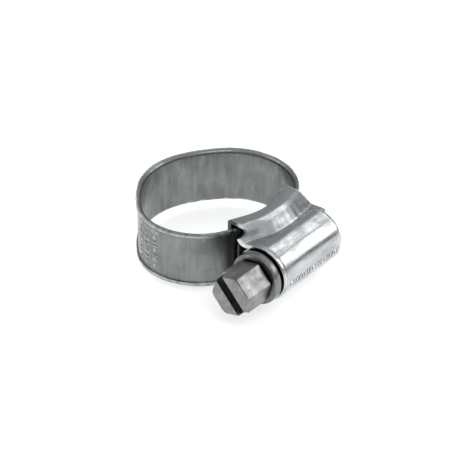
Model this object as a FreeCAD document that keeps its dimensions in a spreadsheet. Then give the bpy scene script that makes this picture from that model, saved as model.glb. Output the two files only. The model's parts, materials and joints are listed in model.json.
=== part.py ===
import FreeCAD, Part
import math
import os
import Sketcher

# Worm-drive hose clamp: a strip bent into a loop, a pressed housing and a worm screw.
# Frame: origin at the centre of the clamping circle, half way across the strip; +Z runs
# along the hose, the housing lies towards -Y and the screw's hex head towards -X.

os.makedirs("parts", exist_ok=True)
doc = FreeCAD.newDocument("hose_clamp")

# ---------------------------------------------------------------- driving dimensions (mm)
DIMENSIONS = [
    ("seat_radius", 10.1),        # clamping circle, touched by the far wall and the saddle
    ("loop_bulge", 2.05),         # how far the open loop stands wider than that circle, each side
    ("far_angle", 30.0),          # half of the far wall's true arc, degrees
    ("flat_angle", 12.0),         # turn of the flatter stretch beside the far wall's arc, degrees
    ("flat_radius", 20.0),        # inside radius of that flatter stretch
    ("saddle_angle", 25.0),       # half of the saddle's true arc, degrees
    ("band_width", 9.0),
    ("band_thickness", 0.6),
    ("rim_height", 0.3),          # how far the turned edges stand out of the strip
    ("rim_width", 0.5),
    ("layer_gap", 0.05),          # running gap between sheets that lie on each other
    ("saddle_thickness", 0.6),
    ("tail_bend_extra", 6.95),    # bend of the strip under the worm, larger than the clamping circle
    ("tail_tip_x", 6.6),          # how far the tail's tip stands towards the head
    ("tail_joint_x", 4.5),        # where the tail and the loop meet, inside the housing
    ("bend_foot_x", 5.2),         # where the loop leaves the tail's bend, just inside the mouth
    ("tip_corner_radius", 3.2),
    ("stub_end_x", 1.8),          # end of the fixed layer, inside the housing
    ("thread_pitch", 1.5),
    ("ridge_length", 5.6),
    ("ridge_bite", 0.25),         # how far the ridges reach in past the thread's crest
    ("ridge_gap", 0.15),          # ridge's top to the channel's roof
    ("root_gap", 0.2),            # ridge's top to the thread's root
    ("flank_gap", 0.125),         # ridge's side to the thread's foot
    ("mesh_gap", 0.3),            # strip's outer face to the thread's crest
    ("joint_gap", 0.06),          # tail's end to the loop's end
    ("worm_radius", 3.4),
    ("worm_half_length", 4.9),
    ("thread_crest", 0.4),
    ("bore_gap", 0.15),           # thread's crest to the barrel's bore
    ("barrel_wall", 0.65),
    ("barrel_head_x", 8.1),       # barrel end beside the head
    ("barrel_foot_x", 6.0),       # barrel end away from the head
    ("end_wall", 0.6),
    ("neck_step", 0.55),          # thread's root to the neck
    ("neck_gap", 0.1),
    ("collar_step", 0.2),         # barrel's outside to the collar's
    ("collar_thickness", 1.3),
    ("collar_gap", 0.5),          # barrel end to the collar
    ("groove_width", 0.3),        # undercut between the collar and the hex
    ("head_length", 5.3),
    ("head_flats", 6.0),
    ("slot_width", 1.5),
    ("slot_depth", 1.4),
    ("bevel_inset", 0.1),         # bevel's inner edge to the circle inside the flats
    ("head_turn", 12.0),          # how far a corner of the hex stands above level, degrees
    ("hood_wall", 0.85),          # the hood's flat sides
    ("hood_head_x", 6.4),         # hood end beside the head
    ("hood_foot_x", 6.2),         # hood end away from the head
    ("hood_bend_radius", 25.0),   # plan radius of the crease between hood and barrel
    ("shoulder_width", 2.3),      # flat top of the hood, from the saddle outwards
    ("crease_depth", 1.1),        # crease to the barrel's axis, along Y
    ("crease_sink", 0.15),        # how far the crease lies inside the barrel's outline
    ("channel_gap", 0.25),        # strip's edge to the hood's inner wall
]

NEAR = 1e-4  # mm; points closer than this are one point
LEAST_CUT = 1e-6  # mm3; a cut that takes less has missed
CUT_PAST = 4  # a cut is this many times as deep as what it clears
HOOD_BLANK = 0.7  # the hood's blank reaches in to this share of the clamping radius, before the seat cut
SEAT_REACH = 0.75  # the seat and channel cuts reach this share of the open half width to each side

sheet = doc.addObject("Spreadsheet::Sheet", "Dimensions")
for row, (alias, value) in enumerate(DIMENSIONS, start=1):
    sheet.set(f"A{row}", alias)
    sheet.set(f"B{row}", str(value))
    sheet.setAlias(f"B{row}", alias)
doc.recompute()


def dim(alias):
    """A driving dimension's value, read from the sheet."""
    return float(sheet.get(alias))


# ---------------------------------------------------------------- sizes that follow
loop_half_width = dim("seat_radius") + dim("loop_bulge")
tail_bend_radius = dim("seat_radius") + dim("tail_bend_extra")
fixed_radius = dim("seat_radius") + dim("saddle_thickness") + dim("layer_gap")
tail_inner_y = fixed_radius + dim("band_thickness") + dim("layer_gap")
guide_y = tail_bend_radius - tail_inner_y
tail_outer_radius = tail_bend_radius + dim("band_thickness")
ridge_height = dim("mesh_gap") + dim("ridge_bite")
ridge_top_radius = tail_outer_radius + ridge_height
screw_y = -(tail_inner_y + dim("band_thickness") + dim("mesh_gap") + dim("worm_radius"))
bore_radius = dim("worm_radius") + dim("bore_gap")
barrel_radius = bore_radius + dim("barrel_wall")
worm_root_radius = dim("worm_radius") - dim("ridge_bite") - dim("root_gap")
neck_radius = worm_root_radius - dim("neck_step")
collar_radius = barrel_radius - dim("collar_step")
thread_base = dim("thread_pitch") / 2
ridge_width = dim("thread_pitch") - thread_base - 2 * dim("flank_gap")
ridge_step = math.degrees(dim("thread_pitch") / (tail_outer_radius + dim("mesh_gap")))
crease_y = screw_y + dim("crease_depth")
crease_half_height = math.sqrt(barrel_radius ** 2 - dim("crease_depth") ** 2) - dim("crease_sink")
hood_half_height = dim("band_width") / 2 + dim("channel_gap") + dim("hood_wall")
tip_corner_turn = math.degrees(dim("tip_corner_radius") / tail_bend_radius)
joint_gap_turn = math.degrees(dim("joint_gap") / tail_bend_radius)

SCREW_Y = (
    "-(Dimensions.seat_radius + Dimensions.saddle_thickness + 2 * Dimensions.layer_gap"
    " + 2 * Dimensions.band_thickness + Dimensions.mesh_gap + Dimensions.worm_radius)"
)
CREASE_Y = f"({SCREW_Y}) + Dimensions.crease_depth"
BORE_RADIUS = "Dimensions.worm_radius + Dimensions.bore_gap"
NECK_RADIUS = (
    "Dimensions.worm_radius - Dimensions.ridge_bite - Dimensions.root_gap - Dimensions.neck_step"
)
CHANNEL_HEIGHT = "Dimensions.band_width + 2 * Dimensions.channel_gap"
FULL_HEIGHT = f"2 * ({CHANNEL_HEIGHT} + 2 * Dimensions.hood_wall)"


# ---------------------------------------------------------------- plan geometry
class Bend:
    """One round stretch of the strip: centre, inside radius and two angles from -Y, in degrees."""

    def __init__(self, x, y, radius, start, end):
        self.x = x
        self.y = y
        self.radius = radius
        self.start = start
        self.end = end

    def point(self, angle, offset):
        """The point at an angle, offset outwards from the inside radius."""
        turn = math.radians(angle)
        reach = self.radius + offset
        return FreeCAD.Vector(self.x + reach * math.sin(turn), self.y - reach * math.cos(turn), 0)


def flat_bend(sign, start, end):
    """The flatter stretch that carries the far wall's arc on towards one side."""
    turn = math.radians(dim("far_angle"))
    back = dim("flat_radius") - dim("seat_radius")
    centre = (-sign * back * math.sin(turn), -back * math.cos(turn))
    return Bend(centre[0], centre[1], dim("flat_radius"), start, end)


def side_bend(sign, near_angle, near_offset, start, end):
    """The bend that touches the near line, the flat stretch's end and the loop's inside width."""
    far_angle = math.radians(dim("far_angle") + dim("flat_angle"))
    near = math.radians(near_angle)
    back = dim("flat_radius") - dim("seat_radius")
    far_offset = dim("flat_radius") - back * math.cos(math.radians(dim("flat_angle")))
    far_gap = loop_half_width - far_offset
    near_gap = loop_half_width - near_offset
    a1, b1 = 1 - math.sin(near), math.cos(near)
    a2, b2 = 1 - math.sin(far_angle), -math.cos(far_angle)
    across = a1 * b2 - a2 * b1
    x = (near_gap * b2 - far_gap * b1) / across
    y = (a1 * far_gap - a2 * near_gap) / across
    return Bend(sign * x, y, loop_half_width - x, start, end)


def trace(bends, offset, backwards=False):
    """Arcs and lines along a chain of bends, at one offset."""
    pieces = []
    last = None
    for bend in reversed(bends) if backwards else bends:
        start, end = (bend.end, bend.start) if backwards else (bend.start, bend.end)
        first = bend.point(start, offset)
        middle = bend.point((start + end) / 2, offset)
        final = bend.point(end, offset)
        if last is not None and last.distanceToPoint(first) > NEAR:
            pieces.append(Part.LineSegment(last, first))
        pieces.append(Part.Arc(first, middle, final))
        last = final
    return pieces


def ring(bends, inner, outer):
    """The closed outline between two offsets of a chain of bends."""
    out = trace(bends, inner)
    back = trace(bends, outer, backwards=True)
    link = Part.LineSegment(out[-1].EndPoint, back[0].StartPoint)
    close = Part.LineSegment(back[-1].EndPoint, out[0].StartPoint)
    return out + [link] + back + [close]


def polygon(points):
    """A closed outline of straight lines."""
    corners = [FreeCAD.Vector(x, y, 0) for x, y in points]
    return [Part.LineSegment(a, b) for a, b in zip(corners, corners[1:] + corners[:1])]


# ---------------------------------------------------------------- document helpers
def origin_item(body, role):
    """One of a body's own origin planes or axes."""
    return next(item for item in body.Origin.OriginFeatures if item.Role == role)


def new_body(label):
    body = doc.addObject("PartDesign::Body", label)
    body.Label = label
    return body


def new_sketch(body, name, plane, geometry, offset=None):
    """A sketch on one of the body's origin planes; offset is an expression for its height."""
    sketch = body.newObject("Sketcher::SketchObject", name)
    sketch.AttachmentSupport = [(origin_item(body, plane), "")]
    sketch.MapMode = "FlatFace"
    sketch.addGeometry(geometry, False)
    if offset:
        sketch.setExpression("AttachmentOffset.Base.z", offset)
    return sketch


def add_circle(sketch, radius):
    """A circle about the screw's axis, its radius and place bound to the sheet."""
    centre, normal = FreeCAD.Vector(screw_y, 0, 0), FreeCAD.Vector(0, 0, 1)
    index = sketch.addGeometry(Part.Circle(centre, normal, bore_radius), False)
    place = sketch.addConstraint(Sketcher.Constraint("DistanceX", index, 3, -1, 1, -screw_y))
    sketch.addConstraint(Sketcher.Constraint("PointOnObject", index, 3, -1))
    sketch.setExpression(f"Constraints[{place}]", f"-({SCREW_Y})")
    size = sketch.addConstraint(Sketcher.Constraint("Radius", index, bore_radius))
    sketch.setExpression(f"Constraints[{size}]", radius)


def feature(body, kind, name, sketch, length, middle=False, reverse=False):
    """A Pad or Pocket whose length is an expression."""
    item = body.newObject(f"PartDesign::{kind}", name)
    item.Profile = sketch
    item.Reversed = reverse
    if middle:
        item.Midplane = True
    item.setExpression("Length", length)
    doc.recompute()
    return item


def checked_cut(body, name, sketch, **options):
    """A Pocket that has to take material away."""
    before = body.Shape.Volume
    item = feature(body, "Pocket", name, sketch, **options)
    if body.Shape.Volume > before - LEAST_CUT:
        raise RuntimeError(f"{name} cut nothing")
    return item


# ---------------------------------------------------------------- the strip's run
near_turn = dim("saddle_angle")
mouth_turn = math.degrees(math.asin(dim("bend_foot_x") / tail_bend_radius))
stub_turn = math.degrees(math.asin(dim("stub_end_x") / fixed_radius))
joint_turn = math.degrees(math.asin(dim("tail_joint_x") / tail_bend_radius))
tip_turn = math.degrees(math.asin(dim("tail_tip_x") / tail_bend_radius))
far_turn = dim("far_angle")
flat_turn = far_turn + dim("flat_angle")

fixed_bend = Bend(0, 0, fixed_radius, stub_turn, -near_turn)
head_side = side_bend(-1, near_turn, fixed_radius, -near_turn, flat_turn - 180)
head_flat = flat_bend(-1, flat_turn - 180, far_turn - 180)
far_bend = Bend(0, 0, dim("seat_radius"), far_turn - 180, -180 - far_turn)
mouth_offset = tail_bend_radius - guide_y * math.cos(math.radians(mouth_turn))
foot_flat = flat_bend(1, -180 - far_turn, -180 - flat_turn)
foot_side = side_bend(1, mouth_turn, mouth_offset, -180 - flat_turn, mouth_turn - 360)
joint_bend = Bend(0, guide_y, tail_bend_radius, mouth_turn - 360, joint_turn - 360)


def rimmed_outline(strip, loop):
    """The strip's plan outline, thicker by the rims along the loop."""
    thin, full = dim("band_thickness"), dim("band_thickness") + dim("rim_height")
    inside = trace(strip, 0)
    runs = [([strip[-1]], thin), (loop, full), ([strip[0]], thin)]
    pieces = list(inside)
    for bends, offset in runs:
        back = trace(bends, offset, backwards=True)
        pieces.append(Part.LineSegment(pieces[-1].EndPoint, back[0].StartPoint))
        pieces += back
    pieces.append(Part.LineSegment(pieces[-1].EndPoint, inside[0].StartPoint))
    return pieces


def make_band_loop():
    """The fixed layer under the housing and the open loop, with its edges turned outwards."""
    body = new_body("band_loop")
    loop = [head_side, head_flat, far_bend, foot_flat, foot_side]
    strip = [fixed_bend] + loop + [joint_bend]
    outline = new_sketch(body, "loop_outline", "XY_Plane", rimmed_outline(strip, loop))
    feature(body, "Pad", "loop_pad", outline, "Dimensions.band_width", middle=True)
    deep = dim("band_thickness") + CUT_PAST * dim("rim_height")
    valley = new_sketch(body, "loop_valley", "XY_Plane", ring(loop, dim("band_thickness"), deep))
    flat = "Dimensions.band_width - 2 * Dimensions.rim_width"
    checked_cut(body, "loop_valley_cut", valley, length=flat, middle=True)
    return body


def make_band_tail():
    """The strip's free end under the worm; the body's own axis is the centre of its bend."""
    body = new_body("band_tail")
    tail = Bend(0, 0, tail_bend_radius, joint_turn - joint_gap_turn, -tip_turn)
    web = new_sketch(body, "tail_web", "XY_Plane", ring([tail], 0, dim("band_thickness")))
    pad = feature(body, "Pad", "tail_web_pad", web, "Dimensions.band_width", middle=True)
    tip = tail.point(-tip_turn, dim("band_thickness") / 2)
    corners = []
    for number, edge in enumerate(body.Shape.Edges, start=1):
        middle = edge.CenterOfMass
        at_tip = math.hypot(middle.x - tip.x, middle.y - tip.y) < dim("band_thickness") / 4
        if at_tip and abs(abs(middle.z) - dim("band_width") / 2) < NEAR:
            corners.append(f"Edge{number}")
    rounding = body.newObject("PartDesign::Fillet", "tail_tip")
    rounding.Base = (pad, corners)
    rounding.setExpression("Radius", "Dimensions.tip_corner_radius")
    doc.recompute()
    add_ridges(body)
    body.setExpression(
        "Placement.Base.y",
        "Dimensions.tail_bend_extra - Dimensions.saddle_thickness"
        " - 2 * Dimensions.layer_gap - Dimensions.band_thickness",
    )
    return body


def add_ridges(body):
    """One ridge beside the joint, then copies along the strip at the thread's pitch."""
    half = math.degrees(ridge_width / 2 / tail_outer_radius)
    count_foot = int((joint_turn - half) / ridge_step - 0.5)
    first = (count_foot + 0.5) * ridge_step
    count = count_foot + 1 + int((tip_turn - half - tip_corner_turn) / ridge_step + 0.5)
    ridge = Bend(0, 0, tail_bend_radius, first + half, first - half)
    lift = dim("band_thickness") + ridge_height
    profile = new_sketch(body, "ridge", "XY_Plane", ring([ridge], dim("band_thickness") / 2, lift))
    pad = feature(body, "Pad", "ridge_pad", profile, "Dimensions.ridge_length", middle=True)
    lead = math.atan(dim("thread_pitch") / (2 * math.pi * dim("worm_radius")))
    pad.UseCustomVector = True
    pad.Direction = FreeCAD.Vector(math.sin(lead), 0, math.cos(lead))
    doc.recompute()
    row = body.newObject("PartDesign::PolarPattern", "ridge_row")
    row.Originals = [pad]
    row.Axis = (origin_item(body, "Z_Axis"), [""])
    row.Reversed = True
    row.Angle = ridge_step * (count - 1)
    row.Occurrences = count
    body.Tip = row
    doc.recompute()


# ---------------------------------------------------------------- the pressed housing
def seat_path(offset, reach):
    """The saddle's plan line, round in the middle and straight to both sides."""
    turn = dim("saddle_angle")
    arc = Bend(0, 0, dim("seat_radius"), turn, -turn)
    foot, head = arc.point(turn, offset), arc.point(-turn, offset)
    slope = math.tan(math.radians(turn))
    foot_end = FreeCAD.Vector(reach, foot.y + (reach - foot.x) * slope, 0)
    head_end = FreeCAD.Vector(-reach, foot_end.y, 0)
    middle = arc.point(0, offset)
    return [
        Part.LineSegment(foot_end, foot),
        Part.Arc(foot, middle, head),
        Part.LineSegment(head, head_end),
    ]


def closed(path, corners):
    """A path closed through extra corners."""
    points = [path[-1].EndPoint] + corners + [path[0].StartPoint]
    return path + [Part.LineSegment(a, b) for a, b in zip(points, points[1:])]


def make_housing():
    """Saddle, hood and barrel, pressed from one sheet."""
    body = new_body("housing")
    add_hood(body)
    add_barrel(body)
    open_strip_channel(body)
    open_barrel(body)
    return body


def add_hood(body):
    """The hood's flat shoulders and its slopes down to the creases, trimmed at both mouths."""
    half, low = hood_half_height, crease_half_height
    inner_y = -HOOD_BLANK * dim("seat_radius")
    bend_y = -(dim("seat_radius") + dim("shoulder_width"))
    centre_y = dim("hood_bend_radius") + crease_y
    half_profile = [(inner_y, half), (bend_y, half), (crease_y, low)]
    outline = half_profile + [(y, -z) for y, z in reversed(half_profile)]
    profile = new_sketch(
        body, "hood_profile", "YZ_Plane", polygon([(y - centre_y, z) for y, z in outline])
    )
    profile.setExpression("AttachmentOffset.Base.x", f"Dimensions.hood_bend_radius + {CREASE_Y}")
    hood = body.newObject("PartDesign::Revolution", "hood")
    hood.Profile = profile
    hood.ReferenceAxis = (profile, ["V_Axis"])
    hood.Midplane = True
    hood.Angle = 2 * math.degrees(math.asin(dim("barrel_head_x") / (centre_y - inner_y)))
    doc.recompute()
    head, foot = dim("hood_head_x"), dim("hood_foot_x")
    barrel_head, wide = dim("barrel_head_x"), 2 * loop_half_width
    slant = [(-head, 0), (-head, bend_y), (-barrel_head, crease_y), (-barrel_head, -wide)]
    trims = {
        "head_mouth": slant + [(-wide, -wide), (-wide, 0)],
        "foot_mouth": [(foot, 0), (foot, -wide), (wide, -wide), (wide, 0)],
    }
    for name, corners in trims.items():
        sketch = new_sketch(body, name, "XY_Plane", polygon(corners))
        checked_cut(body, f"{name}_cut", sketch, length=FULL_HEIGHT, middle=True)


def add_barrel(body):
    """The tube around the worm."""
    tube = new_sketch(body, "barrel_end", "YZ_Plane", [], "-Dimensions.barrel_head_x")
    add_circle(tube, f"{BORE_RADIUS} + Dimensions.barrel_wall")
    feature(body, "Pad", "barrel", tube, "Dimensions.barrel_head_x + Dimensions.barrel_foot_x")


def open_strip_channel(body):
    """Clears the hose's side of the saddle, then the gap that both strip layers run through."""
    reach = SEAT_REACH * loop_half_width
    seat = closed(seat_path(0, reach), [FreeCAD.Vector(-reach, 0, 0), FreeCAD.Vector(reach, 0, 0)])
    seat_sketch = new_sketch(body, "seat", "XY_Plane", seat)
    checked_cut(body, "seat_cut", seat_sketch, length=FULL_HEIGHT, middle=True)
    roof = ridge_top_radius + dim("ridge_gap")
    turn = math.degrees(math.asin(reach / roof))
    guide = Bend(0, guide_y, roof, -turn, turn)
    low, high = guide.point(-turn, 0), guide.point(turn, 0)
    gap = seat_path(dim("saddle_thickness"), reach)
    gap.append(Part.LineSegment(gap[-1].EndPoint, low))
    gap.append(Part.Arc(low, guide.point(0, 0), high))
    gap.append(Part.LineSegment(high, gap[0].StartPoint))
    channel = new_sketch(body, "channel", "XY_Plane", gap)
    checked_cut(body, "channel_cut", channel, length=CHANNEL_HEIGHT, middle=True)


def open_barrel(body):
    """The bore for the worm, and the smaller holes that hold it endways."""
    bore = new_sketch(body, "bore", "YZ_Plane", [], "-Dimensions.barrel_head_x + Dimensions.end_wall")
    add_circle(bore, BORE_RADIUS)
    run = "Dimensions.barrel_head_x + Dimensions.barrel_foot_x - 2 * Dimensions.end_wall"
    checked_cut(body, "bore_cut", bore, length=run, reverse=True)
    ends = new_sketch(body, "end_holes", "YZ_Plane", [], "-Dimensions.barrel_head_x")
    add_circle(ends, f"{NECK_RADIUS} + Dimensions.neck_gap")
    whole = "Dimensions.barrel_head_x + Dimensions.hood_foot_x + Dimensions.end_wall"
    checked_cut(body, "end_holes_cut", ends, length=whole, reverse=True)


# ---------------------------------------------------------------- the worm screw
def make_screw():
    """Hex head with a slot, a collar, a neck and the threaded worm, turned about the body's X axis."""
    body = new_body("worm_screw")
    barrel_end = -dim("barrel_head_x")
    collar_foot = barrel_end - dim("collar_gap")
    collar_head = collar_foot - dim("collar_thickness")
    hex_foot = collar_head - dim("groove_width")
    worm_head = barrel_end + dim("end_wall") + dim("neck_gap")
    worm_foot = dim("barrel_foot_x") - dim("end_wall") - dim("neck_gap")
    neck, root = neck_radius, worm_root_radius
    steps = [
        (hex_foot, 0), (hex_foot, neck), (collar_head, neck), (collar_head, collar_radius),
        (collar_foot, collar_radius), (collar_foot, neck), (worm_head, neck), (worm_head, root),
        (worm_foot, root), (worm_foot, neck), (dim("barrel_foot_x"), neck), (dim("barrel_foot_x"), 0),
    ]
    profile = new_sketch(body, "shaft_profile", "XY_Plane", polygon(steps))
    shaft = body.newObject("PartDesign::Revolution", "shaft")
    shaft.Profile = profile
    shaft.ReferenceAxis = (origin_item(body, "X_Axis"), [""])
    shaft.Angle = 360
    doc.recompute()
    add_head(body, hex_foot)
    add_thread(body)
    body.setExpression("Placement.Base.y", SCREW_Y)
    return body


def add_head(body, hex_foot):
    """The hexagon, its chamfered front corners and the screwdriver slot."""
    corner = dim("head_flats") / math.sqrt(3)
    turns = [math.radians(180 - dim("head_turn") + 60 * k) for k in range(6)]
    outline = polygon([(corner * math.cos(a), corner * math.sin(a)) for a in turns])
    sketch = new_sketch(body, "hexagon", "YZ_Plane", outline)
    sketch.AttachmentOffset = FreeCAD.Placement(FreeCAD.Vector(0, 0, hex_foot), FreeCAD.Rotation())
    feature(body, "Pad", "head", sketch, "Dimensions.head_length", reverse=True)
    front = hex_foot - dim("head_length")
    flat = dim("head_flats") / 2
    bevel, inset = corner - flat, dim("bevel_inset")
    corner_cut = [
        (front, flat - inset), (front, corner + bevel),
        (front + bevel, corner + bevel), (front + bevel, corner + inset),
    ]
    ring_sketch = new_sketch(body, "front_bevel", "XY_Plane", polygon(corner_cut))
    before = body.Shape.Volume
    groove = body.newObject("PartDesign::Groove", "front_bevel_cut")
    groove.Profile = ring_sketch
    groove.ReferenceAxis = (origin_item(body, "X_Axis"), [""])
    groove.Angle = 360
    doc.recompute()
    if body.Shape.Volume > before - LEAST_CUT:
        raise RuntimeError("the bevel cut nothing")
    add_slot(body, front)


def add_slot(body, front):
    """A straight slot across the front face, level with one pair of flats."""
    half, reach = dim("slot_width") / 2, dim("head_flats")
    turn = math.radians(60 - dim("head_turn"))
    along = (math.cos(turn), math.sin(turn))
    across = (-along[1], along[0])
    corners = [
        (a * reach * along[0] + b * half * across[0], a * reach * along[1] + b * half * across[1])
        for a, b in ((-1, -1), (1, -1), (1, 1), (-1, 1))
    ]
    sketch = new_sketch(body, "slot", "YZ_Plane", polygon(corners))
    sketch.AttachmentOffset = FreeCAD.Placement(FreeCAD.Vector(0, 0, front), FreeCAD.Rotation())
    checked_cut(body, "slot_cut", sketch, length="Dimensions.slot_depth", reverse=True)


def add_thread(body):
    """The worm's right-hand thread; a tooth faces the strip half way between two ridges."""
    pitch = dim("thread_pitch")
    base, crest = thread_base / 2, dim("thread_crest") / 2
    turns = int((dim("worm_half_length") - base) / pitch)
    start = -turns * pitch
    root, tip = worm_root_radius, dim("worm_radius")
    sunk = root - (tip - root) / 2
    tooth = [
        (start - base, sunk), (start - base, root), (start - crest, tip),
        (start + crest, tip), (start + base, root), (start + base, sunk),
    ]
    profile = new_sketch(body, "tooth", "XY_Plane", polygon(tooth))
    thread = body.newObject("PartDesign::AdditiveHelix", "thread")
    thread.Profile = profile
    thread.ReferenceAxis = (origin_item(body, "X_Axis"), [""])
    thread.Mode = 0
    thread.Pitch = pitch
    thread.Height = 2 * turns * pitch
    thread.LeftHanded = False
    doc.recompute()


# ---------------------------------------------------------------- build, check and write
bodies = [make_band_loop(), make_band_tail(), make_housing(), make_screw()]
doc.recompute()

for item in doc.Objects:
    if "Invalid" in item.State or "Error" in item.State:
        raise RuntimeError(f"{item.Name} did not compute: {item.State}")
for body in bodies:
    shape = body.Shape
    if shape.isNull() or not shape.isValid():
        raise RuntimeError(f"{body.Label} has no valid shape")
    print(body.Label, len(shape.Solids), round(shape.Volume, 2), shape.BoundBox)
for body in bodies:
    body.Shape.exportStep(f"parts/{body.Label}.step")
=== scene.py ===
import json
import math

import bmesh
import bpy
from mathutils import Matrix, Vector, noise


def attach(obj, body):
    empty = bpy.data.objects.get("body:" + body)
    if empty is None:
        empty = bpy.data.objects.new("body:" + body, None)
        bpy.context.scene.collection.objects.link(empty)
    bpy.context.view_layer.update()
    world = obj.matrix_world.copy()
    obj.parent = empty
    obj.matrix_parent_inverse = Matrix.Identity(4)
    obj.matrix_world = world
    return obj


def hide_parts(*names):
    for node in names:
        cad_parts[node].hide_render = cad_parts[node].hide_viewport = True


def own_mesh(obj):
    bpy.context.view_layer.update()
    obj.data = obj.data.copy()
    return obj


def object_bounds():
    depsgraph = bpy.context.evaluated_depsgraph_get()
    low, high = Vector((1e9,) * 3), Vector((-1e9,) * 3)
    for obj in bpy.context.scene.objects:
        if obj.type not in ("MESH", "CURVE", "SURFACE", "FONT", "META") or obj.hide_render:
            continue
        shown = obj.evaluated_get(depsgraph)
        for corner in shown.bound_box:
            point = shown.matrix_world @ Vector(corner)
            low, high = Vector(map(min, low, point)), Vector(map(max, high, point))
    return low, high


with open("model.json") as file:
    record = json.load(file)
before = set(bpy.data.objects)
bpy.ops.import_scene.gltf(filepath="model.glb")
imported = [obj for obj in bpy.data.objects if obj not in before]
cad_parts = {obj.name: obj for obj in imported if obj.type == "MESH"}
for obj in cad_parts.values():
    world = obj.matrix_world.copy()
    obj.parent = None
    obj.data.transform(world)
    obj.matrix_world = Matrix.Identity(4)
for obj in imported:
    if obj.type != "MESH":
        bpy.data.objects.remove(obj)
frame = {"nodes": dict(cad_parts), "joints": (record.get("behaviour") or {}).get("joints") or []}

CAD_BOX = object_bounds()

bl_info = {
    "name": "Worm-drive hose clamp",
    "version": (1, 0, 0),
    "blender": (4, 5, 0),
    "location": "3D View > Sidebar > Clamp",
    "description": "Builds a zinc-plated hose clamp around its mechanical frame",
    "category": "Object",
}

JOINTS = {joint["name"]: joint for joint in frame["joints"]}
SCREW_AXIS = Vector(JOINTS["screw_turn"]["pos_m"])
TAIL_CENTRE = Vector(JOINTS["tail_feed"]["pos_m"])
MM = 0.001
STRIP_STEP = 0.28 * MM    # distance between the strip's stations
WORM_GAP = 0.1 * MM       # added to the sheet's thickness between the barrel's ends and the thread's


# ---------------------------------------------------------------- properties
def length(label, text, default):
    """A size in metres that a user may change."""
    return bpy.props.FloatProperty(
        name=label, description=text, default=default * MM, unit="LENGTH", precision=5
    )


def angle(label, text, default):
    """An angle that a user may change, given here in degrees."""
    return bpy.props.FloatProperty(
        name=label, description=text, default=math.radians(default), subtype="ANGLE"
    )


def tint(label, text, default):
    """A colour that a user may change."""
    return bpy.props.FloatVectorProperty(
        name=label, description=text, default=default, subtype="COLOR", size=3, min=0, max=1
    )


class ClampBandSizes(bpy.types.PropertyGroup):
    seat_radius: length("Seat radius", "Radius of the clamping circle", 10.1)
    half_width: length("Half width", "Half the inside width of the open loop", 12.15)
    far_angle: angle("Far angle", "Half of the far wall's true arc", 30)
    flat_angle: angle("Flat angle", "Turn of the flatter stretch beside the far wall", 12)
    flat_radius: length("Flat radius", "Inside radius of the flatter stretch", 20)
    saddle_angle: angle("Saddle angle", "Half of the saddle's true arc", 25)
    width: length("Band width", "Width of the strip over its turned edges", 9)
    sheet: length("Band sheet", "Thickness of the strip", 0.6)
    rim_bend: length("Rim bend", "Bend radius of the turned edge", 0.65)
    rim_lip: length("Rim lip", "Straight lip past the turned edge's bend", 0.26)
    rim_start: length("Rim start", "Height above the middle at which the edge turns", 3.8)
    rim_angle: angle("Rim angle", "How far the edge turns outwards", 78)
    layer_gap: length("Layer gap", "Gap between sheets that lie on each other", 0.05)
    tail_radius: length("Tail bend radius", "Inside radius of the strip under the worm", 17.05)
    stub_end: length("Fixed end", "How far the fixed layer reaches past the middle", 1.8)
    tail_joint: length("Tail joint", "Where the loop meets the tail inside the housing", 4.5)
    bend_foot: length("Bend end", "Where the loop leaves the tail's bend", 5.2)


class ClampHousingSizes(bpy.types.PropertyGroup):
    sheet: length("Housing sheet", "Thickness of the pressed sheet", 0.6)
    half_height: length("Hood half height", "Middle of the strip to the hood's top", 5.6)
    head_x: length("Hood head end", "Hood end beside the screw's head", 6.4)
    foot_x: length("Hood foot end", "Hood end away from the head", 6.2)
    shoulder: length("Shoulder width", "Flat top of the hood, from the saddle outwards", 2.3)
    shoulder_radius: length("Shoulder plan radius", "Plan radius of the shoulder's outer bend", 22)
    crease_radius: length("Crease plan radius", "Plan radius of the crease above the barrel", 25)
    pinch: length("Crease turn-in", "How far the crease turns towards the strip at the head end", 1.3)
    crease_depth: length("Crease depth", "Crease to the barrel's axis, along Y", 1.1)
    barrel_radius: length("Barrel radius", "Outside radius of the barrel", 4.2)
    barrel_head_x: length("Barrel head end", "Barrel end beside the screw's head", 8.1)
    barrel_foot_x: length("Barrel foot end", "Barrel end away from the head", 6.0)
    foot_round: length("Foot rounding", "Rounding of the barrel's end away from the head", 0.7)
    head_round: length("Head rounding", "Rounding of the barrel's end beside the head", 0.22)
    hole_radius: length("End hole", "Radius of the holes in the barrel's ends", 2.5)


class ClampScrewSizes(bpy.types.PropertyGroup):
    flats: length("Across flats", "Hex size", 6)
    head: length("Head length", "Length of the hexagon", 5.3)
    head_turn: angle("Head turn", "How far a corner of the hex stands above level", 12)
    slot_width: length("Slot width", "Width of the screwdriver slot", 1.5)
    slot_depth: length("Slot depth", "Depth of the screwdriver slot", 1.4)
    collar_radius: length("Collar radius", "Radius of the collar", 4.0)
    collar: length("Collar thickness", "Thickness of the collar", 1.3)
    collar_gap: length("Collar gap", "Barrel end to the collar", 0.5)
    groove: length("Groove width", "Undercut between the collar and the hex", 0.3)
    neck: length("Neck radius", "Radius of the neck", 2.4)
    worm: length("Worm radius", "Radius over the thread", 3.4)
    root: length("Root radius", "Radius at the bottom of the thread", 2.95)
    pitch: length("Pitch", "Thread pitch", 1.5)
    tooth_base: length("Tooth base", "Width of a tooth at its foot", 0.75)
    tooth_crest: length("Tooth crest", "Width of a tooth at its top", 0.4)


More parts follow.
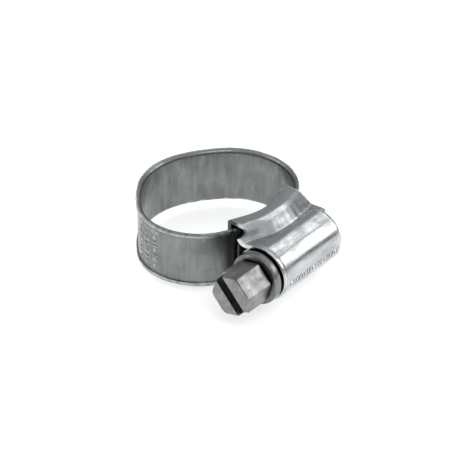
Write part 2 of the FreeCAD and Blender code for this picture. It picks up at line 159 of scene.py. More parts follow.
class ClampColours(bpy.types.PropertyGroup):
    band: tint("Band", "Plated strip", (0.255, 0.272, 0.272))
    band_dark: tint("Band, worn", "Duller patches of the strip", (0.19, 0.198, 0.192))
    housing: tint("Housing", "Plated pressing", (0.54, 0.565, 0.575))
    housing_dark: tint("Housing, worn", "Duller patches of the pressing", (0.38, 0.39, 0.395))
    screw: tint("Screw", "Plated screw", (0.215, 0.218, 0.216))
    screw_dark: tint("Screw, worn", "Duller patches of the screw", (0.13, 0.131, 0.128))
    floor: tint("Floor", "Pale table", (0.95, 0.95, 0.95))


# ---------------------------------------------------------------- plan geometry of the strip
class Bend:
    """One round stretch: centre, inside radius and two angles from -Y, in radians."""

    def __init__(self, x, y, radius, start, end):
        self.x = x
        self.y = y
        self.radius = radius
        self.start = start
        self.end = end

    def point(self, turn, offset=0.0):
        reach = self.radius + offset
        return Vector((self.x + reach * math.sin(turn), self.y - reach * math.cos(turn), 0))


def side_bend(band, sign, near, near_offset, start, end):
    """The bend that touches the near line, the flat stretch's end and the inside width."""
    far = band.far_angle + band.flat_angle
    back = band.flat_radius - band.seat_radius
    far_gap = band.half_width - band.flat_radius + back * math.cos(band.flat_angle)
    near_gap = band.half_width - near_offset
    a1, b1 = 1 - math.sin(near), math.cos(near)
    a2, b2 = 1 - math.sin(far), -math.cos(far)
    across = a1 * b2 - a2 * b1
    x = (near_gap * b2 - far_gap * b1) / across
    y = (a1 * far_gap - a2 * near_gap) / across
    return Bend(sign * x, y, band.half_width - x, start, end)


def strip_bends(band, housing):
    """The strip's bends from its fixed end round the loop to the joint with the tail."""
    fixed = band.seat_radius + housing.sheet + band.layer_gap
    near, far = band.saddle_angle, band.far_angle
    flat = far + band.flat_angle
    back = band.flat_radius - band.seat_radius
    flat_x, flat_y = back * math.sin(far), -back * math.cos(far)
    foot = math.asin(band.bend_foot / band.tail_radius)
    joint = math.asin(band.tail_joint / band.tail_radius)
    foot_offset = band.tail_radius - TAIL_CENTRE.y * math.cos(foot)
    turn, half = 2 * math.pi, math.pi
    return [
        Bend(0, 0, fixed, math.asin(band.stub_end / fixed), -near),
        side_bend(band, -1, near, fixed, -near, flat - half),
        Bend(flat_x, flat_y, band.flat_radius, flat - half, far - half),
        Bend(0, 0, band.seat_radius, far - half, -half - far),
        Bend(-flat_x, flat_y, band.flat_radius, -half - far, -half - flat),
        side_bend(band, 1, foot, foot_offset, -half - flat, foot - turn),
        Bend(0, TAIL_CENTRE.y, band.tail_radius, foot - turn, joint - turn),
    ]


def walk(bends, step):
    """Points along the strip's inner face, each with its outward normal, about a step apart."""
    widest, closest = step * 1.5, step * 0.6
    stations = []
    for bend in bends:
        count = max(2, math.ceil(abs(bend.end - bend.start) * bend.radius / step))
        for number in range(count + 1):
            turn = bend.start + (bend.end - bend.start) * number / count
            normal = Vector((math.sin(turn), -math.cos(turn), 0))
            point = bend.point(turn)
            gap = (point - stations[-1][0]).length if stations else step
            if gap > widest:
                fill_line(stations, point, normal, step)
            if gap > closest:
                stations.append((point, normal))
    return stations


def fill_line(stations, point, normal, step):
    """Adds stations along the straight run to a point."""
    start = stations[-1][0]
    count = round((point - start).length / step)
    for number in range(1, count):
        stations.append((start.lerp(point, number / count), normal))


# ---------------------------------------------------------------- mesh helpers
def finish_mesh(name, bm, sharp=40.0):
    """Makes an object of a bmesh, smooth except at edges sharper than an angle in degrees."""
    bmesh.ops.recalc_face_normals(bm, faces=bm.faces)
    mesh = bpy.data.meshes.new(name)
    bm.to_mesh(mesh)
    bm.free()
    mesh.shade_smooth()
    mesh.set_sharp_from_angle(angle=math.radians(sharp))
    piece = bpy.data.objects.new(name, mesh)
    bpy.context.scene.collection.objects.link(piece)
    return piece


def add_grid(bm, rows, close_rows=False, close_ends=False):
    """Quads between rows of points; each row may be closed, and closed rows may be capped."""
    layers = [[bm.verts.new(point) for point in row] for row in rows]
    width = len(layers[0])
    span = width if close_rows else width - 1
    for low, high in zip(layers, layers[1:]):
        for i in range(span):
            j = (i + 1) % width
            bm.faces.new((low[i], low[j], high[j], high[i]))
    if close_ends:
        bm.faces.new(list(reversed(layers[0])))
        bm.faces.new(layers[-1])
    return layers


def add_sheet(bm, outer, inner):
    """A sheet with a thickness: two grids of points joined all round their edges."""
    skin, lining = add_grid(bm, outer), add_grid(bm, inner)
    edges = [(skin[0], lining[0]), (skin[-1], lining[-1])]
    edges += [([row[i] for row in skin], [row[i] for row in lining]) for i in (0, -1)]
    for top, bottom in edges:
        for i in range(len(top) - 1):
            bm.faces.new((top[i], top[i + 1], bottom[i + 1], bottom[i]))


def add_lathe(bm, profile, axis_y, segments):
    """Turns a closed profile of (x, radius) points about a line along X."""
    rows = []
    for number in range(segments + 1):
        turn = 2 * math.pi * number / segments
        across, up = math.cos(turn), math.sin(turn)
        rows.append([Vector((x, axis_y + radius * across, radius * up)) for x, radius in profile])
    add_grid(bm, rows, close_rows=True)
    bmesh.ops.remove_doubles(bm, verts=bm.verts, dist=1e-7)


def round_corner(before, point, after, radius, count):
    """Points on the arc that rounds a corner, which takes up less than half of either side."""
    back = (before - point).normalized()
    onward = (after - point).normalized()
    half = back.angle(onward) / 2
    longest = 0.48 * min((before - point).length, (after - point).length)
    reach = min(radius / math.tan(half), longest)
    centre = point + (back + onward).normalized() * reach / math.cos(half)
    start, end = point + back * reach - centre, point + onward * reach - centre
    return [
        centre + start.slerp(end, number / count).normalized() * start.length
        for number in range(count + 1)
    ]


def rounded_line(corners, count=7):
    """Rounds a line of (point, radius) corners; one in line with its neighbours stays a point."""
    straight = math.radians(179)
    line = [corners[0][0].copy()]
    for (before, _), (point, radius), (after, _) in zip(corners, corners[1:], corners[2:]):
        if (before - point).angle(after - point) > straight:
            line.append(point.copy())
        else:
            line += round_corner(before, point, after, radius, count)
    line.append(corners[-1][0].copy())
    return line


def smoothstep(low, high, value):
    """0 below a range, 1 above it, and a smooth rise between."""
    share = min(1.0, max(0.0, (value - low) / (high - low)))
    return share * share * (3 - 2 * share)


def unevenness(place, scale, height):
    """A smooth rise and fall over the surface, always the same at the same place."""
    return noise.noise(place * scale) * height


def about_screw(x, reach, turn):
    """A point at a distance from the screw's axis, turned from +Y towards +Z."""
    return Vector((x, SCREW_AXIS.y + reach * math.cos(turn), reach * math.sin(turn)))


def round_edges(piece, width, segments=3, limit=35.0):
    """A small rounding on the piece's edges that are sharper than an angle in degrees."""
    bevel = piece.modifiers.new("edge_rounding", "BEVEL")
    bevel.width = width
    bevel.segments = segments
    bevel.limit_method = "ANGLE"
    bevel.angle_limit = math.radians(limit)


def settle(piece):
    """Applies the piece's modifiers to its mesh."""
    graph = bpy.context.evaluated_depsgraph_get()
    mesh = bpy.data.meshes.new_from_object(piece.evaluated_get(graph))
    piece.modifiers.clear()
    piece.data = mesh


def dress(piece, material, body):
    """Gives a piece its material and its body."""
    piece.data.materials.clear()
    piece.data.materials.append(material)
    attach(piece, body)
    return piece


def add_relief(bm, surface, along, up, long, tall, height):
    """One low pressed mark with soft sides; surface gives a point for a place and a lift."""
    count = 8
    foot, rise = -0.15 * height, 1.15 * height
    rows = []
    for i in range(count + 1):
        row = []
        for j in range(count + 1):
            a, b = 2 * i / count - 1, 2 * j / count - 1
            dome = (1 - a ** 4) * (1 - b ** 4)
            lift = foot + rise * dome ** 0.5
            row.append(surface(along + a * long / 2, up + b * tall / 2, lift))
        rows.append(row)
    add_grid(bm, rows)


# ---------------------------------------------------------------- materials
def new_group(name, inputs, outputs):
    """An empty shader node group with named sockets."""
    group = bpy.data.node_groups.new(name, "ShaderNodeTree")
    for label, kind, default in inputs:
        socket = group.interface.new_socket(label, in_out="INPUT", socket_type=f"NodeSocket{kind}")
        socket.default_value = default
    for label, kind in outputs:
        group.interface.new_socket(label, in_out="OUTPUT", socket_type=f"NodeSocket{kind}")
    return group, group.nodes.new("NodeGroupInput"), group.nodes.new("NodeGroupOutput")


def node(tree, kind, **values):
    """A node with its properties set and its input sockets filled or linked."""
    item = tree.nodes.new(f"ShaderNode{kind}")
    sockets = values.pop("sockets", {})
    for key, value in values.items():
        setattr(item, key, value)
    for key, value in sockets.items():
        if isinstance(value, bpy.types.NodeSocket):
            tree.links.new(value, item.inputs[key])
        else:
            item.inputs[key].default_value = value
    return item


def noise_value(tree, place, scale, detail, roughness=0.5):
    """A noise texture's value over the surface."""
    sockets = {"Vector": place, "Scale": scale, "Detail": detail, "Roughness": roughness}
    return node(tree, "TexNoise", sockets=sockets).outputs["Fac"]


def mapped(tree, value, low, high, to_low=0.0, to_high=1.0):
    """A value stretched from one range to another, and kept inside it."""
    sockets = {0: value, 1: low, 2: high, 3: to_low, 4: to_high}
    return node(tree, "MapRange", sockets=sockets).outputs[0]


def calculated(tree, operation, first, second):
    """A sum on two values."""
    return node(tree, "Math", operation=operation, sockets={0: first, 1: second}).outputs[0]


def mixed_values(tree, share, first, second):
    """A mix of two values."""
    return node(tree, "Mix", data_type="FLOAT", sockets={0: share, 2: first, 3: second}).outputs[0]


def mixed_colours(tree, share, first, second, blend_type="MIX"):
    """A mix of two colours."""
    sockets = {0: share, 6: first, 7: second}
    return node(tree, "Mix", data_type="RGBA", blend_type=blend_type, sockets=sockets).outputs[2]


def plating_group():
    """Zinc plating: cloudy tone, fine grain and soft streaks across the surface."""
    name = "Zinc plating"
    if name in bpy.data.node_groups:
        return bpy.data.node_groups[name]
    inputs = [
        ("Bright", "Color", (0.7, 0.7, 0.7, 1)),
        ("Dull", "Color", (0.4, 0.4, 0.4, 1)),
        ("Streak", "Vector", (1, 1, 1)),
        ("Gloss", "Float", 0.25),
        ("Spread", "Float", 0.15),
    ]
    outputs = [("Color", "Color"), ("Roughness", "Float"), ("Height", "Float")]
    group, start, end = new_group(name, inputs, outputs)
    given = start.outputs
    place = node(group, "TexCoord").outputs["Object"]
    stretching = {0: place, 1: given["Streak"]}
    stretched = node(group, "VectorMath", operation="MULTIPLY", sockets=stretching).outputs[0]
    cloud = noise_value(group, place, scale=260.0, detail=5.0, roughness=0.6)
    streak = noise_value(group, stretched, scale=900.0, detail=3.0, roughness=0.55)
    grain = noise_value(group, place, scale=5200.0, detail=2.0, roughness=0.7)
    spots = node(group, "TexVoronoi", sockets={"Vector": place, "Scale": 1500.0})
    tone = mapped(group, mixed_values(group, 0.45, cloud, streak), low=0.36, high=0.62)
    clouded = mixed_colours(group, tone, given["Dull"], given["Bright"])
    fleck = mapped(group, spots.outputs["Distance"], low=0.05, high=0.22, to_low=0.82)
    flecked = mixed_colours(group, 1.0, clouded, fleck, "MULTIPLY")
    dullness = calculated(group, "SUBTRACT", 1.0, tone)
    roughening = calculated(group, "MULTIPLY", dullness, given["Spread"])
    rough = calculated(group, "ADD", roughening, given["Gloss"])
    relief = mixed_values(group, 0.5, grain, streak)
    for label, value in (("Color", flecked), ("Roughness", rough), ("Height", relief)):
        group.links.new(value, end.inputs[label])
    return group


def wear_and_shade_group():
    """Edge wear and painted shade: bright rubbed corners, and hollows darkened by ambient occlusion as
    painted shade.
    """
    name = "Edge wear and grime"
    if name in bpy.data.node_groups:
        return bpy.data.node_groups[name]
    inputs = [
        ("Color", "Color", (0.7, 0.7, 0.7, 1)),
        ("Rubbed", "Color", (0.9, 0.9, 0.9, 1)),
        # The last three inputs set the painted shade in hollows: its dark colour, its strength and the
        # ambient occlusion's reach.
        ("Shade colour", "Color", (0.05, 0.05, 0.045, 1)),
        ("Wear", "Float", 0.6),
        ("Shade amount", "Float", 0.6),
        ("Reach", "Float", 0.7 * MM),
    ]
    group, start, end = new_group(name, inputs, [("Color", "Color")])
    given = start.outputs
    place = node(group, "TexCoord").outputs["Object"]
    breakup = noise_value(group, place, scale=1400.0, detail=4.0)
    edge = mapped(group, node(group, "NewGeometry").outputs["Pointiness"], low=0.505, high=0.56)
    patchy = mapped(group, breakup, low=0.35, high=0.65, to_low=0.2)
    mask = calculated(group, "MULTIPLY", edge, patchy)
    mask = calculated(group, "MULTIPLY", mask, given["Wear"])
    rubbed = mixed_colours(group, mask, given["Color"], given["Rubbed"])
    # Ambient occlusion darkens the colour in hollows, creases and gaps between parts: painted shade.
    shade = node(group, "AmbientOcclusion", samples=8, sockets={"Distance": given["Reach"]})
    hollow = mapped(group, shade.outputs["AO"], low=0.35, high=0.95, to_low=1.0, to_high=0.0)
    painted_shade = calculated(group, "MULTIPLY", hollow, given["Shade amount"])
    shaded_colour = mixed_colours(group, painted_shade, rubbed, given["Shade colour"])
    group.links.new(shaded_colour, end.inputs["Color"])
    return group


def plated_metal(name, bright, dull, streak, gloss, spread, wear, painted_shade, bump):
    """A zinc-plated steel material, with rubbed edges and painted shade in its hollows."""
    if name in bpy.data.materials:
        return bpy.data.materials[name]
    material = bpy.data.materials.new(name)
    material.use_nodes = True
    tree = material.node_tree
    shader = tree.nodes["Principled BSDF"]
    looks = {"Bright": (*bright, 1), "Dull": (*dull, 1), "Streak": streak, "Gloss": gloss, "Spread": spread}
    plating = node(tree, "Group", node_tree=plating_group(), sockets=looks)
    # Wear rubs the edges bright; the next value sets how darkly the hollows are painted as shade.
    wear_and_shade_inputs = {"Color": plating.outputs["Color"], "Wear": wear, "Shade amount": painted_shade}
    worn_and_shaded = node(tree, "Group", node_tree=wear_and_shade_group(), sockets=wear_and_shade_inputs)
    raising = {"Height": plating.outputs["Height"], "Strength": bump, "Distance": 0.03 * MM}
    relief = node(tree, "Bump", sockets=raising)
    tree.links.new(worn_and_shaded.outputs["Color"], shader.inputs["Base Color"])
    tree.links.new(plating.outputs["Roughness"], shader.inputs["Roughness"])
    tree.links.new(relief.outputs["Normal"], shader.inputs["Normal"])
    shader.inputs["Metallic"].default_value = 1.0
    return material


def strip_material(name, wear):
    """The strip's dull plating, with its edges rubbed more or less."""
    colours = bpy.context.scene.clamp_colours
    return plated_metal(
        name, colours.band, colours.band_dark, streak=(1.6, 1.6, 0.25),
        gloss=0.24, spread=0.2, wear=wear, painted_shade=0.6, bump=0.35,
    )


def housing_material():
    """The housing's bright plating."""
    colours = bpy.context.scene.clamp_colours
    return plated_metal(
        "Bright plated pressing", colours.housing, colours.housing_dark, streak=(0.3, 1.6, 1.6),
        gloss=0.15, spread=0.16, wear=0.6, painted_shade=0.8, bump=0.3,
    )


def screw_material():
    """The screw's darker plating."""
    colours = bpy.context.scene.clamp_colours
    return plated_metal(
        "Plated screw", colours.screw, colours.screw_dark, streak=(0.5, 1.0, 1.0),
        gloss=0.24, spread=0.16, wear=0.12, painted_shade=0.8, bump=0.4,
    )


# ---------------------------------------------------------------- the strip
NOSE = ((0.12, 0.7), (0.5, 1), (0.88, 0.7))    # the lip's end: share across the sheet, share of its rise
WALL = (-0.67, -0.33, 0.0, 0.33, 0.67)         # points on the plain wall, as shares of its half height


def rim_profile(band, curl):
    """The strip's closed cross-section as (outwards, up) pairs; curl 0 is flat and 1 is fully turned."""
    half, sheet, start = band.width / 2, band.sheet, band.rim_start
    straight, rounding = 0.8, 0.2
    count = 10
    inner, outer = [], []
    for number in range(count + 1):
        lean = band.rim_angle * number / count
        reach = Vector((band.rim_bend * (1 - math.cos(lean)), start + band.rim_bend * math.sin(lean)))
        inner.append(reach)
        outer.append(reach + sheet * Vector((math.cos(lean), -math.sin(lean))))
    onward = Vector((math.sin(band.rim_angle), math.cos(band.rim_angle))) * band.rim_lip
    across = outer[-1] - inner[-1]
    inner.append(inner[-1] + onward * straight)
    outer.append(outer[-1] + onward * straight)
    nose = [inner[-1] + across * share + onward * rounding * rise for share, rise in NOSE]
    flat = [start + (half - start) * number / (count + 1) for number in range(count + 2)]
    inner = [point.lerp(Vector((0, up)), 1 - curl) for point, up in zip(inner, flat)]
    outer = [point.lerp(Vector((sheet, up)), 1 - curl) for point, up in zip(outer, flat)]
    nose = [
        point.lerp(Vector((sheet * share, half)), 1 - curl) for point, (share, _) in zip(nose, NOSE)
    ]
    wall = [start * share for share in WALL]
    upper = inner + nose + outer[::-1]
    lower = [Vector((point.x, -point.y)) for point in upper[::-1]]
    cut = len(outer) + len(nose)
    return (
        lower[cut:] + [Vector((0, up)) for up in wall] + upper
        + [Vector((sheet, up)) for up in reversed(wall)] + lower[:cut]
    )


def band_curl(point, housing):
    """How far the strip's edges are turned at a place: flat inside the housing."""
    if point.y >= 0:
        return 1.0
    ease = 0.9 * MM
    return smoothstep(-ease, ease, abs(point.x) - housing.foot_x)


def lifted(point, normal, out, up):
    """A point off the strip's inner face."""
    return Vector((point.x + normal.x * out, point.y + normal.y * out, up))


class CLAMP_OT_band(bpy.types.Operator):
    """Builds the strip's fixed end and open loop, with turned edges and pressed marks"""
    bl_idname = "clamp.band"
    bl_label = "Band"

    def execute(self, context):
        scene = context.scene
        band, housing = scene.clamp_band, scene.clamp_housing
        stations = walk(strip_bends(band, housing), STRIP_STEP)
        bm = bmesh.new()
        rows = [self.section(point, normal, band, housing) for point, normal in stations]
        add_grid(bm, rows, close_rows=True, close_ends=True)
        material = strip_material("Dull plated strip", wear=0.7)
        strip = dress(finish_mesh("band_strip", bm), material, "clip")
        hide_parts("band_loop")
        marks = dress(self.marks(stations, band), material, "clip")
        for piece in (strip, marks):
            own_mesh(piece)
        return {"FINISHED"}

    def section(self, point, normal, band, housing):
        """The strip's section at a station: a fine ripple in its edges and a broad wave all over."""
        curl = band_curl(point, housing)
        edge_from, wave_share, ripple_share = 0.8, 0.2, 0.4
        row = []
        for out, up in rim_profile(band, curl):
            edge = smoothstep(edge_from, 1.0, abs(up) / (band.width / 2))
            ripple = unevenness(Vector((point.x, point.y, up)), 520, 0.05 * MM) * edge * curl
            wave = unevenness(Vector((point.x, point.y, up * wave_share)), 170, 0.03 * MM)
            row.append(lifted(point, normal, out + ripple + wave, up + ripple_share * ripple))
        return row

    def marks(self, stations, band):
        """Rows of plain ticks and bars pressed into the outside of the loop, beside the head."""
        beside, level = -0.55 * band.half_width, 0.165 * band.half_width
        run = [station for station in stations if station[0].x < beside]
        middle = min(range(len(run)), key=lambda i: abs(run[i][0].y - level))

        def surface(along, up, lift):
            place = min(len(run) - 2, max(0, middle + along / STRIP_STEP))
            low = int(place)
            point = run[low][0].lerp(run[low + 1][0], place - low)
            normal = run[low][1].lerp(run[low + 1][1], place - low)
            return lifted(point, normal, band.sheet + lift, up)

        bm = bmesh.new()
        foot, full, gap = -3.2 * MM, 0.98 * MM, 0.15 * MM
        row_step, bar, tick, height = 1.8 * MM, 1.25 * MM, 0.5 * MM, 0.12 * MM
        pattern = (0.9, 0.9, 0.45, 0.9, 0.45, 0.45, 0.9, 0.9)
        for row in range(3):
            along, up = (row - 1) * row_step, foot
            for number, share in enumerate(pattern[row:] + pattern[:row]):
                tall = share * full
                wide = bar if number % 3 else tick
                add_relief(bm, surface, along, up + tall / 2, wide, tall * 0.75, height)
                up += tall + gap
        return finish_mesh("band_marks", bm)


class CLAMP_OT_tail(bpy.types.Operator):
    """Gives the strip's free end its plated finish"""
    bl_idname = "clamp.tail"
    bl_label = "Tail"

    def execute(self, context):
        tail = frame["nodes"]["band_tail"]
        tail.data.materials.clear()
        tail.data.materials.append(strip_material("Plated tail", wear=0.0))
        return {"FINISHED"}


# ---------------------------------------------------------------- the housing
PLAIN_BEND, CREASE_BEND, SHOULDER_BEND, SADDLE_BEND = 0.3 * MM, 1.1 * MM, 2.4 * MM, 0.6 * MM
SHOULDER_DROP = 0.12 * MM                 # the shoulder's outer bend lies this far under the hood's top
PINCH_DROP = 0.3 * MM                     # the crease's drop where it turns in
PINCH_FROM, PINCH_TO = 0.45, 1.05         # where the crease turns in, as shares of the hood's head end
SKIRT_SINK = 0.03 * MM                    # the hood's ends lie this far inside the barrel's surface
SKIRT_TURNS = (26, 18, 10)                # where they lie, in degrees round the barrel past the crease
SADDLE_SHARES = (0.6, 0.2, -0.2, -0.6)    # points on the saddle, as shares of the half height
def seat_y(x, band):
    """The saddle's face towards the hose, round in the middle and straight at the sides."""
    radius, turn = band.seat_radius, band.saddle_angle
    edge = radius * math.sin(turn)
    if abs(x) <= edge:
        return -math.sqrt(radius ** 2 - x ** 2)
    return -radius * math.cos(turn) + (abs(x) - edge) * math.tan(turn)


def hood_section(x, band, housing):
    """The hood's outer line across the strip, from the top of the barrel round to its bottom."""
    centre, reach, top = SCREW_AXIS.y, housing.barrel_radius, housing.half_height
    saddle = seat_y(x, band)
    bend = -(band.seat_radius + housing.shoulder) + x * x / (2 * housing.shoulder_radius)
    turn = math.acos(housing.crease_depth / reach)
    pinch = smoothstep(PINCH_FROM * housing.head_x, PINCH_TO * housing.head_x, -x)
    crease = centre + housing.crease_depth + x * x / (2 * housing.crease_radius)
    crease += pinch * housing.pinch
    high = reach * math.sin(turn) - PINCH_DROP * pinch
    skirt = [about_screw(0, reach - SKIRT_SINK, turn + math.radians(step)) for step in SKIRT_TURNS]
    upper = [(Vector((point.y, point.z, 0)), PLAIN_BEND) for point in skirt]
    upper.append((Vector((crease, high, 0)), CREASE_BEND))
    upper.append((Vector((bend, top - SHOULDER_DROP, 0)), SHOULDER_BEND))
    upper.append((Vector((saddle, top, 0)), SADDLE_BEND))
    middle = [(Vector((saddle, top * share, 0)), PLAIN_BEND) for share in SADDLE_SHARES]
    lower = [(Vector((point.x, -point.y, 0)), radius) for point, radius in reversed(upper)]
    return rounded_line(upper + middle + lower)


class CLAMP_OT_housing(bpy.types.Operator):
    """Builds the pressed housing: saddle and hood, barrel, end rings and pressed marks"""
    bl_idname = "clamp.housing"
    bl_label = "Housing"

    def execute(self, context):
        scene = context.scene
        band, housing = scene.clamp_band, scene.clamp_housing
        material = housing_material()
        hood = self.hood(band, housing)
        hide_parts("housing")
        pieces = [hood, self.barrel(housing), self.end_rings(housing), self.marks(housing)]
        for piece in pieces:
            dress(piece, material, "clip")
        return {"FINISHED"}

    def hood(self, band, housing):
        """The saddle and hood, one bent sheet open at both mouths."""
        section = hood_section(0.0, band, housing)
        shoulder = band.seat_radius + housing.shoulder
        crease = SCREW_AXIS.y + housing.crease_depth
        count = 84
        outer, inner = [], []
        for number in range(count + 1):
            share = number / count
            skin, lining = [], []
            for index, place in enumerate(section):
                slant = smoothstep(shoulder, -crease, -place.x)
                start = -housing.head_x - slant * (housing.barrel_head_x - housing.head_x)
                x = start + (housing.foot_x - start) * share
                here = hood_section(x, band, housing)
                back, onward = here[max(0, index - 1)], here[min(len(here) - 1, index + 1)]
                along = (onward - back).normalized()
                inside = here[index] + Vector((along.y, -along.x, 0)) * housing.sheet
                skin.append(self.wrinkled(Vector((x, here[index].x, here[index].y)), crease))
                lining.append(Vector((x, inside.x, inside.y)))
            outer.append(skin)
            inner.append(lining)
        bm = bmesh.new()
        add_sheet(bm, outer, inner)
        piece = finish_mesh("housing_hood", bm, 50)
        round_edges(piece, 0.13 * MM, limit=60)
        settle(piece)
        piece.data.shade_smooth()
        piece.data.set_sharp_from_angle(angle=math.radians(50))
        return piece

    def wrinkled(self, point, crease):
        """The small unevenness that pressing leaves, finer beside the crease."""
        reach, inwards = 0.7 * MM, 0.5
        near = math.exp(-((point.y - crease) / reach) ** 2)
        fine = unevenness(point, 900, 0.06 * MM) + unevenness(point, 2300, 0.025 * MM)
        shift = near * fine + unevenness(point, 210, 0.05 * MM)
        return point + Vector((0, -inwards * shift, math.copysign(shift, point.z)))

    def barrel(self, housing):
        """The tube around the worm, open towards the strip, with a shallow groove at its head end."""
        outer, inner = housing.barrel_radius, housing.barrel_radius - housing.sheet
        start, stop = math.radians(60), math.radians(300)
        around, along = 96, 40
        head = -housing.barrel_head_x
        groove, groove_end, depth = 0.45 * MM, 0.65 * MM, 0.12 * MM
        first = head + groove_end
        line = [(head + housing.head_round, 0.0), (head + groove, -depth), (first, 0.0)]
        span = housing.barrel_foot_x - housing.foot_round - first
        line += [(first + span * step / along, 0.0) for step in range(1, along + 1)]
        rows = []
        for number in range(around + 1):
            turn = start + (stop - start) * number / around
            row = []
            for x, dip in line:
                place = Vector((x, math.cos(turn) * outer, math.sin(turn) * outer))
                row.append(about_screw(x, outer + dip + unevenness(place, 230, 0.05 * MM), turn))
            row += [about_screw(x, inner, turn) for x, _ in reversed(line)]
            rows.append(row)
        bm = bmesh.new()
        add_grid(bm, rows, close_rows=True, close_ends=True)
        return finish_mesh("housing_barrel", bm, 50)

    def end_rings(self, housing):
        """The turned-in lips at both ends of the barrel."""
        outer, hole = housing.barrel_radius, housing.hole_radius
        ease, sunk, count = 0.1 * MM, 0.05 * MM, 8
        ends = (
            (-housing.barrel_head_x, 1, housing.head_round),
            (housing.barrel_foot_x, -1, housing.foot_round),
        )
        turns = [math.radians(90 * step / count) for step in range(1, count + 1)]
        bm = bmesh.new()
        for face, way, soft in ends:
            profile = [
                (face + way * soft * (1 - math.sin(turn)), outer - soft * (1 - math.cos(turn)))
                for turn in turns
            ]
            back = face + way * max(housing.sheet, soft)
            profile += [(face, hole + ease), (face + way * ease, hole), (back, hole), (back, outer - sunk)]
            profile.append((face + way * soft, outer))
            add_lathe(bm, profile, SCREW_AXIS.y, 112)
        return finish_mesh("housing_end_rings", bm, 50)

    def marks(self, housing):
        """One line of plain bars along the outside of the barrel, below its middle."""
        reach = housing.barrel_radius

        def surface(along, up, lift):
            return about_screw(along, reach + lift, math.pi - up / reach)

        bm = bmesh.new()
        place, level, gap = -6.7 * MM, -0.85 * MM, 0.2 * MM
        bar, tick, height = 1.3 * MM, 0.7 * MM, 0.14 * MM
        widths = (0.55, 0.3, 0.6, 0.5, 0.3, 0.55, 0.3, 0.45, 0.6)
        for number, width in enumerate(widths * 2):
            long = width * MM
            tall = bar if number % 4 else tick
            add_relief(bm, surface, place + long / 2, level, long * 0.75, tall, height)
            place += long + gap
        return finish_mesh("housing_marks", bm)

